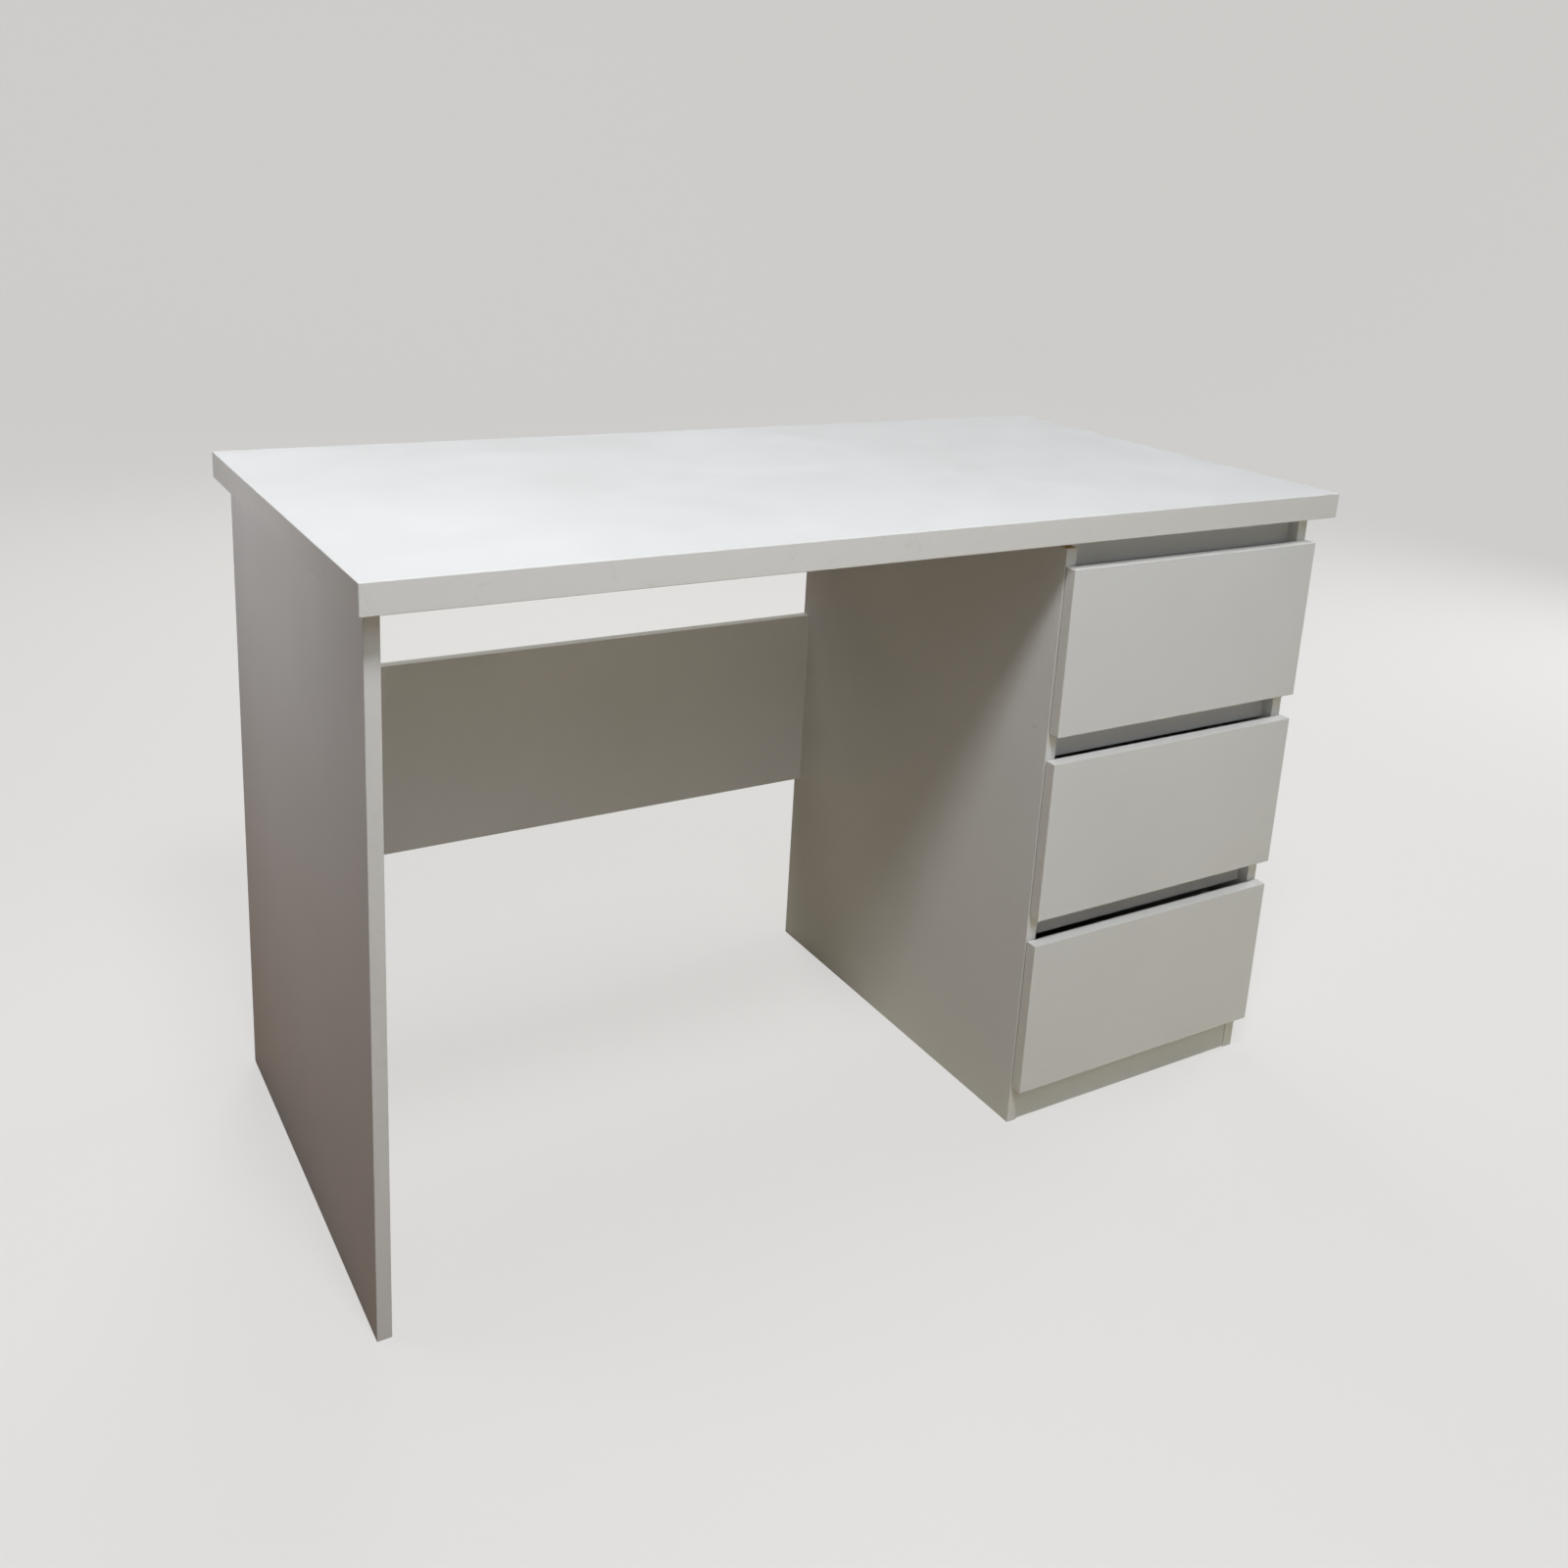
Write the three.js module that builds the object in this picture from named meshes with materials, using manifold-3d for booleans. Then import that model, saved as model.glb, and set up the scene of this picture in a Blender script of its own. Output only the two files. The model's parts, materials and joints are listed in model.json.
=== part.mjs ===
// Writing desk with three drawers: white melamine-faced board, on a slab end panel and a drawer pedestal.
// Millimetres, +Z up, +X to the sitter's right, drawers pulled towards -Y.
// The origin is on the floor, under the middle of the desktop.
import * as THREE from 'three';
import { mergeVertices } from 'three/addons/utils/BufferGeometryUtils.js';
import Module from 'manifold-3d';

const wasm = await Module();
wasm.setup();

// Driving dimensions
const desk = { width: 1200, depth: 600, height: 770 };
const board = 15;
const hardboard = 3;
const desktop = { thickness: 2 * board, lipWidth: 70, band: 1 };
const overhang = { left: 10, right: 20, front: 25, back: 45 };
const pedestal = { width: 390, kickHeight: 50, kickSetback: 2 };
const modesty = { bottom: 256, height: 250 };
const fronts = { names: ['top', 'middle', 'bottom'], fingerGap: 32, standOff: 2 };
const rail = { setback: 16, belowFront: 6, height: 50 };
const backRail = { height: 60 };
const groove = { width: 3.5, depth: 6, slack: 0.5 };
const backPanel = { fromEdge: 9.5, bottom: 20 };
const relief = { depth: 20, height: 12 };
const drawer = { height: 140, depth: 450, aboveFrontBottom: 25, grooveUp: 10 };
const slide = { room: 13, length: 450, setback: 2, gauge: 1.25, centreUp: 70 };
const bracket = { leg: 30, width: 25, gauge: 1.5, fromEnd: 70 };

// Faces worked out from the driving dimensions
const left = -desk.width / 2;
const right = desk.width / 2;
const front = -desk.depth / 2;
const back = desk.depth / 2;
const underside = desk.height - desktop.thickness;
const frontEdge = front + overhang.front;
const backEdge = back - overhang.back;
const endPanelX = [left + overhang.left, left + overhang.left + board];
const pedestalX = [right - overhang.right - pedestal.width, right - overhang.right];
const insideX = [pedestalX[0] + board, pedestalX[1] - board];
const grooveY = [backEdge - backPanel.fromEdge - groove.width, backEdge - backPanel.fromEdge];
const backPanelY = [grooveY[0] + groove.slack / 2, grooveY[1] - groove.slack / 2];
const shelfBack = grooveY[0] - groove.slack;
const frontPitch = (underside - pedestal.kickHeight) / fronts.names.length;
const frontHeight = frontPitch - fronts.fingerGap;
const frontY = [frontEdge - fronts.standOff - board, frontEdge - fronts.standOff];
const railY = [frontEdge + rail.setback, frontEdge + rail.setback + board];

const materials = {
  melamine: { color: 0xe9eae8, roughness: 0.38, metalness: 0 },
  edgeBand: { color: 0xdcdcd8, roughness: 0.45, metalness: 0 },
  hardboard: { color: 0xe2e0da, roughness: 0.6, metalness: 0 },
  zincSteel: { color: 0xb4b7ba, roughness: 0.35, metalness: 0.9 },
};

const object = new THREE.Group();
object.name = 'writing_desk';

function place(parent, name, finish, geometry) {
  const mesh = new THREE.Mesh(geometry, new THREE.MeshStandardMaterial(materials[finish]));
  mesh.name = name;
  parent.add(mesh);
}

// A straight board between two values on each axis
function slab([x0, x1], [y0, y1], [z0, z1]) {
  const geometry = new THREE.BoxGeometry(x1 - x0, y1 - y0, z1 - z0);
  return geometry.translate((x0 + x1) / 2, (y0 + y1) / 2, (z0 + z1) / 2);
}

// The same outline all along one axis. The outline's two numbers are the other two axes in X, Y, Z order.
const directions = {
  x: { across: [0, 1, 0], up: [0, 0, 1], along: [1, 0, 0] },
  y: { across: [1, 0, 0], up: [0, 0, 1], along: [0, -1, 0] },
  z: { across: [1, 0, 0], up: [0, 1, 0], along: [0, 0, 1] },
};

function profile(outline, axis, [low, high]) {
  const shape = new THREE.Shape(outline.map(([u, v]) => new THREE.Vector2(u, v)));
  const geometry = new THREE.ExtrudeGeometry(shape, { depth: high - low, bevelEnabled: false, steps: 1 });
  const { across, up, along } = directions[axis];
  const turn = new THREE.Matrix4().makeBasis(
    new THREE.Vector3(...across), new THREE.Vector3(...up), new THREE.Vector3(...along));
  const start = new THREE.Vector3(...along).multiplyScalar(axis === 'y' ? -high : low);
  return geometry.applyMatrix4(turn.setPosition(start));
}

function solid(geometry) {
  const bare = geometry.clone();
  bare.deleteAttribute('normal');
  bare.deleteAttribute('uv');
  const merged = mergeVertices(bare);
  return new wasm.Manifold(new wasm.Mesh({
    numProp: 3,
    vertProperties: merged.attributes.position.array,
    triVerts: new Uint32Array(merged.index.array),
  }));
}

function cut(geometry, tool) {
  const mesh = solid(geometry).subtract(solid(tool)).getMesh();
  const result = new THREE.BufferGeometry();
  result.setAttribute('position', new THREE.BufferAttribute(mesh.vertProperties, 3));
  result.setIndex(new THREE.BufferAttribute(mesh.triVerts, 1));
  result.computeVertexNormals();
  return result;
}

// Desktop: one board, doubled by strips under its edges and over the pedestal's inner side, edged all round
function addDesktop() {
  const bodyX = [left + desktop.band, right - desktop.band];
  const bodyY = [front + desktop.band, back - desktop.band];
  const lowerZ = [underside, underside + board];
  const betweenY = [bodyY[0] + desktop.lipWidth, bodyY[1] - desktop.lipWidth];
  const stripMiddle = pedestalX[0] + board / 2;
  const stripX = [stripMiddle - desktop.lipWidth / 2, stripMiddle + desktop.lipWidth / 2];
  const leftLipX = [bodyX[0], bodyX[0] + desktop.lipWidth];
  const rightLipX = [bodyX[1] - desktop.lipWidth, bodyX[1]];
  place(object, 'desktop_board', 'melamine', slab(bodyX, bodyY, [underside + board, desk.height]));
  place(object, 'desktop_front_lip', 'melamine', slab(bodyX, [bodyY[0], betweenY[0]], lowerZ));
  place(object, 'desktop_back_lip', 'melamine', slab(bodyX, [betweenY[1], bodyY[1]], lowerZ));
  place(object, 'desktop_left_lip', 'melamine', slab(leftLipX, betweenY, lowerZ));
  place(object, 'desktop_right_lip', 'melamine', slab(rightLipX, betweenY, lowerZ));
  place(object, 'desktop_cross_strip', 'melamine', slab(stripX, betweenY, lowerZ));

  const rectangle = (Type, x, y) => new Type([[x[0], y[0]], [x[1], y[0]], [x[1], y[1]], [x[0], y[1]]]
    .map(([u, v]) => new THREE.Vector2(u, v)));
  const ring = rectangle(THREE.Shape, [left, right], [front, back]);
  ring.holes.push(rectangle(THREE.Path, bodyX, bodyY));
  const band = new THREE.ExtrudeGeometry(ring, { depth: desktop.thickness, bevelEnabled: false });
  place(object, 'desktop_edge_band', 'edgeBand', band.translate(0, 0, underside));
}

// End panel on the sitter's left, and the modesty panel between it and the pedestal
function addEndAndModesty() {
  const modestyX = [endPanelX[1], pedestalX[0]];
  const modestyZ = [modesty.bottom, modesty.bottom + modesty.height];
  place(object, 'left_end_panel', 'melamine', slab(endPanelX, [frontEdge, backEdge], [0, underside]));
  place(object, 'modesty_panel', 'melamine', slab(modestyX, [backEdge - board, backEdge], modestyZ));
}

// A pedestal side: a board with a groove for the back panel in its inner face
function pedestalSide(outerFace, innerFace) {
  const bed = innerFace + Math.sign(outerFace - innerFace) * groove.depth;
  const outline = [
    [outerFace, frontEdge], [innerFace, frontEdge], [innerFace, grooveY[0]], [bed, grooveY[0]],
    [bed, grooveY[1]], [innerFace, grooveY[1]], [innerFace, backEdge], [outerFace, backEdge],
  ];
  return profile(outline, 'z', [0, underside]);
}

function addPedestal() {
  const kickY = [frontEdge + pedestal.kickSetback, frontEdge + pedestal.kickSetback + board];
  const bottomZ = [pedestal.kickHeight, pedestal.kickHeight + board];
  const leftSide = pedestalSide(pedestalX[0], insideX[0]);
  const corner = slab([pedestalX[0] - 1, insideX[0] + 1], [frontEdge - 1, frontEdge + relief.depth],
    [underside - relief.height, underside + 1]);
  place(object, 'pedestal_left_side', 'melamine', cut(leftSide, corner));
  place(object, 'pedestal_right_side', 'melamine', pedestalSide(pedestalX[1], insideX[1]));
  place(object, 'pedestal_bottom', 'melamine', slab(insideX, [frontEdge, shelfBack], bottomZ));
  place(object, 'kick_board', 'melamine', slab(insideX, kickY, [0, pedestal.kickHeight]));
  place(object, 'pedestal_back_rail', 'melamine',
    slab(insideX, [shelfBack - board, shelfBack], [underside - backRail.height, underside]));
  const reach = groove.depth - groove.slack;
  place(object, 'pedestal_back_panel', 'hardboard',
    slab([insideX[0] - reach, insideX[1] + reach], backPanelY, [backPanel.bottom, underside]));
}

// Angle brackets that hold the desktop down, two to each upright panel
function addBrackets() {
  const uprights = [
    { name: 'end_panel', face: endPanelX[1], towards: 1 },
    { name: 'pedestal_left', face: insideX[0], towards: 1 },
    { name: 'pedestal_right', face: insideX[1], towards: -1 },
  ];
  const ends = [
    ['front', frontEdge + bracket.fromEnd],
    ['back', backEdge - bracket.fromEnd - bracket.width],
  ];
  const { leg, gauge } = bracket;
  for (const { name, face, towards } of uprights) {
    const outline = [[0, 0], [leg, 0], [leg, -gauge], [gauge, -gauge], [gauge, -leg], [0, -leg]]
      .map(([u, v]) => [face + towards * u, underside + v]);
    for (const [end, y] of ends) {
      place(object, `${name}_${end}_bracket`, 'zincSteel', profile(outline, 'y', [y, y + bracket.width]));
    }
  }
}

// Telescopic ball-bearing slide, as three nested channels. Each outline is the distance from the pedestal
// side and the height above the slide's middle; the gaps between channels are the ball races.
const outer = { half: 22.5, reach: 9.5, hook: 2.5 };
const middle = { half: 18, web: 3.25, tip: 11 };
const inner = { half: 13.5, tip: 6 };

function channel(web, tip, half, thickness) {
  const inside = web + Math.sign(tip - web) * thickness;
  return [[web, -half], [tip, -half], [tip, thickness - half], [inside, thickness - half],
    [inside, half - thickness], [tip, half - thickness], [tip, half], [web, half]];
}

function hookedChannel(reach, half, hook, thickness) {
  const lip = reach - thickness;
  const lower = [[0, -half], [reach, -half], [reach, hook - half], [lip, hook - half],
    [lip, thickness - half], [thickness, thickness - half]];
  const upper = lower.map(([u, v]) => [u, -v]).reverse();
  return [...lower, ...upper];
}

const slideMembers = {
  outer: hookedChannel(outer.reach, outer.half, outer.hook, slide.gauge),
  middle: channel(middle.web, middle.tip, middle.half, slide.gauge),
  inner: channel(slide.room, inner.tip, inner.half, slide.gauge),
};

function slideMember(member, face, towards, middleZ) {
  const outline = slideMembers[member].map(([u, v]) => [face + towards * u, middleZ + v]);
  const start = frontEdge + slide.setback;
  return profile(outline, 'y', [start, start + slide.length]);
}

// A drawer box side, front or back: a board with a groove near its lower edge, in its inner face
function groovedBoard(outerFace, innerFace, bottom, axis, span) {
  const bed = innerFace + Math.sign(outerFace - innerFace) * groove.depth;
  const low = bottom + drawer.grooveUp;
  const high = low + groove.width;
  const outline = [
    [outerFace, bottom], [innerFace, bottom], [innerFace, low], [bed, low],
    [bed, high], [innerFace, high],
    [innerFace, bottom + drawer.height], [outerFace, bottom + drawer.height],
  ];
  return profile(outline, axis, span);
}

// One drawer: full-overlay front, box of four boards, hardboard bottom held in grooves, and its two slides
function addDrawer(position, frontBottom) {
  const group = new THREE.Group();
  const name = `${position}_drawer`;
  const bottom = frontBottom + drawer.aboveFrontBottom;
  const outerX = [insideX[0] + slide.room, insideX[1] - slide.room];
  const innerX = [outerX[0] + board, outerX[1] - board];
  const boxY = [frontY[1], frontY[1] + drawer.depth];
  const tongue = groove.depth - groove.slack;
  const panelZ = bottom + drawer.grooveUp + groove.slack / 2;
  const frontZ = [frontBottom, frontBottom + frontHeight];
  place(group, `${name}_front`, 'melamine', slab(pedestalX, frontY, frontZ));
  place(group, `${name}_left_side`, 'melamine', groovedBoard(outerX[0], innerX[0], bottom, 'y', boxY));
  place(group, `${name}_right_side`, 'melamine', groovedBoard(outerX[1], innerX[1], bottom, 'y', boxY));
  place(group, `${name}_box_front`, 'melamine',
    groovedBoard(boxY[0], boxY[0] + board, bottom, 'x', innerX));
  place(group, `${name}_box_back`, 'melamine',
    groovedBoard(boxY[1], boxY[1] - board, bottom, 'x', innerX));
  place(group, `${name}_bottom`, 'hardboard', slab([innerX[0] - tongue, innerX[1] + tongue],
    [boxY[0] + board - tongue, boxY[1] - board + tongue], [panelZ, panelZ + hardboard]));
  const hands = [['left', insideX[0], 1], ['right', insideX[1], -1]];
  for (const [hand, face, towards] of hands) {
    for (const member of Object.keys(slideMembers)) {
      place(group, `${name}_${hand}_slide_${member}`, 'zincSteel',
        slideMember(member, face, towards, bottom + slide.centreUp));
    }
  }
  object.add(group);
}

// A rail behind each finger gap. It starts just below the top of the front under it, and the highest one
// is cut short by the desktop.
function addDrawersAndRails() {
  fronts.names.forEach((name, index) => {
    const frontBottom = underside - (index + 1) * frontPitch;
    const railBottom = frontBottom + frontHeight - rail.belowFront;
    const railTop = Math.min(railBottom + rail.height, underside);
    place(object, `${name}_rail`, 'melamine', slab(insideX, railY, [railBottom, railTop]));
    addDrawer(name, frontBottom);
  });
}

addDesktop();
addEndAndModesty();
addPedestal();
addBrackets();
addDrawersAndRails();

export default object;
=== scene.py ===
import json
import math

import bpy
import numpy as np
from mathutils import Euler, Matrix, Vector


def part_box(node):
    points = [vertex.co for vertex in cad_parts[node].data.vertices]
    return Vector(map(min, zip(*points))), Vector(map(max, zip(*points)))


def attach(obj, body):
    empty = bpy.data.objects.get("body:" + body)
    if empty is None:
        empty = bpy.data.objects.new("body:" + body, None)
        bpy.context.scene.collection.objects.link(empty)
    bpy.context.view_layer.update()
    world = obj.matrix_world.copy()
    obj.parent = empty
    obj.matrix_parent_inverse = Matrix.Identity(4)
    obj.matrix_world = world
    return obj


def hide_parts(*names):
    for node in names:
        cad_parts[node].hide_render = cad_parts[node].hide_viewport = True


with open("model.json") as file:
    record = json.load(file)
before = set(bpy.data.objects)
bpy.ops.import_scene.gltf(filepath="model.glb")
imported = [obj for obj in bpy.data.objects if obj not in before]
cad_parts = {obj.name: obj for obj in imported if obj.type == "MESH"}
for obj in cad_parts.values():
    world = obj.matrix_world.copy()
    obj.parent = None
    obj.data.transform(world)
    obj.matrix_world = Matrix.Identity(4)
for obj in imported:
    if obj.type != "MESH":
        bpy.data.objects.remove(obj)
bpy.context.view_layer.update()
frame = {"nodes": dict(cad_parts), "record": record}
bodies = frame["record"]["behaviour"]["bodies"]
mm = 0.001  # one millimetre in metres


# camera: in front of the end panel and a little left of it, looking down across the knee space
cameraSet = {
    "place": (-0.9229, -1.4806, 1.1099),  # metres
    "turn": (74.977, -2.988, -30.690),  # degrees
    "lens": 34.357,  # millimetres, as is the sensor
    "sensor": 36,
    "shift": (0.0048, -0.1324),
    "near": 0.01,
}


def addCamera():
    data = bpy.data.cameras.new("camera")
    data.lens = cameraSet["lens"]
    data.sensor_width = cameraSet["sensor"]
    data.shift_x, data.shift_y = cameraSet["shift"]
    data.clip_start = cameraSet["near"]
    camera = bpy.data.objects.new("camera", data)
    camera.location = cameraSet["place"]
    camera.rotation_euler = Euler([math.radians(angle) for angle in cameraSet["turn"]])
    bpy.context.scene.collection.objects.link(camera)
    bpy.context.scene.camera = camera
    bpy.context.scene.view_settings.view_transform = "Standard"


addCamera()
print("camera placed")


# materials

# "#rrggbb" in sRGB to linear red, green, blue, alpha
def linear(hexColour):
    parts = np.array([int(hexColour[i:i + 2], 16) for i in (1, 3, 5)]) / 255
    return (*np.where(parts <= 0.04045, parts / 12.92, ((parts + 0.055) / 1.055) ** 2.4), 1.0)


# adds a node with its settings, and gives each input, by name or number, a value or another node's output
def addNode(tree, kind, inputs, **settings):
    node = tree.nodes.new("ShaderNode" + kind)
    for name, value in settings.items():
        setattr(node, name, value)
    for name, value in inputs.items():
        if isinstance(value, bpy.types.Node):
            value = value.outputs[0]
        if isinstance(value, bpy.types.NodeSocket):
            tree.links.new(value, node.inputs[name])
        else:
            node.inputs[name].default_value = value
    return node


# two ends of a range as the "From" or "To" inputs of a node that maps one range to another
def limits(side, ends):
    return {side + " Min": ends[0], side + " Max": ends[1]}


# an empty material, with the object's own coordinates in metres
def startMaterial(name):
    material = bpy.data.materials.new(name)
    material.use_nodes = True
    tree = material.node_tree
    tree.nodes.clear()
    return material, tree, addNode(tree, "TexCoord", {}).outputs["Object"]


# Satin white melamine: printed paper and resin pressed on chipboard by a finely pearled plate.
# It gives a clean cool white, a soft reflection broken by the pearl, and faint wipe marks.
# Sizes are in millimetres. A real pearl is about 0.5 across, and is drawn three times as coarse to show.
def melamineMaterial():
    look = {
        "white": "#e5e7e6", "shade": "#dfe1df", "grime": "#b9b5aa",
        "cloud": 380, "cloudShows": (0.35, 0.65),
        "speck": 14, "speckShows": (0.72, 0.8), "grimeShare": (0, 0.25),
        "wipe": 70, "wipeShows": (0.35, 0.7), "roughness": (0.33, 0.41), "ior": 1.5,
        "pearl": 1.5, "pearlDepth": 0.006, "sag": 110, "sagDepth": 0.05,
    }
    material, tree, place = startMaterial("satin white melamine")
    cloud = addNode(tree, "TexNoise", {"Vector": place, "Scale": 1 / (look["cloud"] * mm), "Detail": 3.0})
    wipe = addNode(tree, "TexNoise", {
        "Vector": place, "Scale": 1 / (look["wipe"] * mm),
        "Detail": 5.0, "Roughness": 0.6, "Distortion": 0.5})
    speck = addNode(tree, "TexNoise", {
        "Vector": place, "Scale": 1 / (look["speck"] * mm), "Detail": 6.0, "Roughness": 0.8})
    tint = addNode(tree, "MapRange", {"Value": cloud, **limits("From", look["cloudShows"])})
    clean = addNode(tree, "Mix", {
        0: tint, 6: linear(look["white"]), 7: linear(look["shade"])}, data_type="RGBA")
    marked = addNode(tree, "MapRange", {
        "Value": speck, **limits("From", look["speckShows"]), **limits("To", look["grimeShare"])})
    colour = addNode(tree, "Mix", {
        0: marked, 6: clean.outputs[2], 7: linear(look["grime"])}, data_type="RGBA")
    gloss = addNode(tree, "MapRange", {
        "Value": wipe, **limits("From", look["wipeShows"]), **limits("To", look["roughness"])})
    sag = addNode(tree, "TexNoise", {"Vector": place, "Scale": 1 / (look["sag"] * mm), "Detail": 1.0})
    pearl = addNode(tree, "TexNoise", {"Vector": place, "Scale": 1 / (look["pearl"] * mm), "Detail": 1.0})
    low = addNode(tree, "Bump", {"Height": sag, "Distance": look["sagDepth"] * mm, "Strength": 1.0})
    fine = addNode(tree, "Bump", {
        "Height": pearl, "Distance": look["pearlDepth"] * mm, "Strength": 1.0, "Normal": low})
    shader = addNode(tree, "BsdfPrincipled", {
        "Base Color": colour.outputs[2], "Roughness": gloss, "IOR": look["ior"], "Normal": fine})
    addNode(tree, "OutputMaterial", {"Surface": shader})
    return material


# Satin white PVC edge band: extruded tape, glued on hot and scraped flush.
# It gives a white a shade warmer than the melamine, with fine scrape marks and a few greyer rubs.
def edgeBandMaterial():
    look = {
        "white": "#e2e3df", "rubbed": "#cfcdc5",
        "rub": 24, "rubShows": (0.58, 0.78), "rubShare": (0, 0.6),
        "glossShows": (0.3, 0.7), "roughness": (0.30, 0.48), "ior": 1.53,
        "scrape": 1.1, "scrapeDepth": 0.02,
    }
    material, tree, place = startMaterial("satin white PVC edge band")
    rub = addNode(tree, "TexNoise", {
        "Vector": place, "Scale": 1 / (look["rub"] * mm),
        "Detail": 6.0, "Roughness": 0.7, "Distortion": 0.8})
    scrape = addNode(tree, "TexNoise", {"Vector": place, "Scale": 1 / (look["scrape"] * mm), "Detail": 2.0})
    share = addNode(tree, "MapRange", {
        "Value": rub, **limits("From", look["rubShows"]), **limits("To", look["rubShare"])})
    colour = addNode(tree, "Mix", {
        0: share, 6: linear(look["white"]), 7: linear(look["rubbed"])}, data_type="RGBA")
    gloss = addNode(tree, "MapRange", {
        "Value": rub, **limits("From", look["glossShows"]), **limits("To", look["roughness"])})
    marks = addNode(tree, "Bump", {"Height": scrape, "Distance": look["scrapeDepth"] * mm, "Strength": 1.0})
    shader = addNode(tree, "BsdfPrincipled", {
        "Base Color": colour.outputs[2], "Roughness": gloss, "IOR": look["ior"], "Normal": marks})
    addNode(tree, "OutputMaterial", {"Surface": shader})
    return material


# Raw chipboard edge: flakes of wood pressed in glue and sawn through.
# It gives a rough tan edge with pale flakes, dark bark and small torn pits.
def chipboardMaterial():
    look = {
        "flake": 2.4, "pale": "#d2b589", "tan": "#a98a60", "bark": "#63482c",
        "pit": 1.4, "pitShows": (0.55, 0.68), "pitDepth": 0.4, "roughness": 0.9,
    }
    material, tree, place = startMaterial("raw chipboard edge")
    flake = addNode(tree, "TexVoronoi", {"Vector": place, "Scale": 1 / (look["flake"] * mm)})
    split = addNode(tree, "SeparateColor", {"Color": flake.outputs["Color"]})
    pit = addNode(tree, "TexNoise", {
        "Vector": place, "Scale": 1 / (look["pit"] * mm), "Detail": 5.0, "Roughness": 0.7})
    dark = addNode(tree, "MapRange", {"Value": pit, **limits("From", look["pitShows"])})
    wood = addNode(tree, "Mix", {0: split, 6: linear(look["tan"]), 7: linear(look["pale"])}, data_type="RGBA")
    colour = addNode(tree, "Mix", {0: dark, 6: wood.outputs[2], 7: linear(look["bark"])}, data_type="RGBA")
    torn = addNode(tree, "Bump", {"Height": pit, "Distance": look["pitDepth"] * mm, "Strength": 1.0})
    shader = addNode(tree, "BsdfPrincipled", {
        "Base Color": colour.outputs[2], "Roughness": look["roughness"], "Normal": torn})
    addNode(tree, "OutputMaterial", {"Surface": shader})
    return material


# White-lacquered hardboard: thin fibreboard with paint rolled on one face.
# It gives a duller, creamier white than the melamine, with a faint stipple from the roller.
def hardboardFaceMaterial():
    look = {
        "white": "#dcdad3", "thin": "#d3cfc4", "cloud": 110, "cloudShows": (0.4, 0.75),
        "glossShows": (0.3, 0.7), "roughness": (0.48, 0.64), "stipple": 2.0, "stippleDepth": 0.04,
    }
    material, tree, place = startMaterial("white-lacquered hardboard")
    cloud = addNode(tree, "TexNoise", {
        "Vector": place, "Scale": 1 / (look["cloud"] * mm), "Detail": 5.0, "Roughness": 0.6})
    stipple = addNode(tree, "TexNoise", {"Vector": place, "Scale": 1 / (look["stipple"] * mm), "Detail": 3.0})
    share = addNode(tree, "MapRange", {"Value": cloud, **limits("From", look["cloudShows"])})
    colour = addNode(tree, "Mix", {
        0: share, 6: linear(look["white"]), 7: linear(look["thin"])}, data_type="RGBA")
    gloss = addNode(tree, "MapRange", {
        "Value": cloud, **limits("From", look["glossShows"]), **limits("To", look["roughness"])})
    rolled = addNode(tree, "Bump", {
        "Height": stipple, "Distance": look["stippleDepth"] * mm, "Strength": 1.0})
    shader = addNode(tree, "BsdfPrincipled", {
        "Base Color": colour.outputs[2], "Roughness": gloss, "Normal": rolled})
    addNode(tree, "OutputMaterial", {"Surface": shader})
    return material


# Bare back of hardboard: wet fibre pressed against a wire screen.
# It gives a dull brown, with long fibres and the screen's fine squares.
def hardboardBackMaterial():
    look = {
        "brown": "#8f6e4a", "dark": "#694c31", "fibre": 4, "fibreShows": (0.35, 0.65),
        "screen": 2.5, "screenDepth": 0.2, "roughness": 0.85,
    }
    bandsInUnit = 20  # a wave texture of scale 1 has this many bands in a metre
    material, tree, place = startMaterial("bare hardboard back")
    fibre = addNode(tree, "TexNoise", {
        "Vector": place, "Scale": 1 / (look["fibre"] * mm), "Detail": 6.0, "Roughness": 0.7})
    share = addNode(tree, "MapRange", {"Value": fibre, **limits("From", look["fibreShows"])})
    colour = addNode(tree, "Mix", {
        0: share, 6: linear(look["brown"]), 7: linear(look["dark"])}, data_type="RGBA")
    wires = [addNode(tree, "TexWave", {
        "Vector": place, "Scale": 1 / (look["screen"] * mm) / bandsInUnit, "Distortion": 0.2,
    }, bands_direction=axis) for axis in "XY"]
    screen = addNode(tree, "Math", {
        0: wires[0].outputs["Fac"], 1: wires[1].outputs["Fac"]}, operation="MAXIMUM")
    woven = addNode(tree, "Bump", {"Height": screen, "Distance": look["screenDepth"] * mm, "Strength": 1.0})
    shader = addNode(tree, "BsdfPrincipled", {
        "Base Color": colour.outputs[2], "Roughness": look["roughness"], "Normal": woven})
    addNode(tree, "OutputMaterial", {"Surface": shader})
    return material


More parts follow.
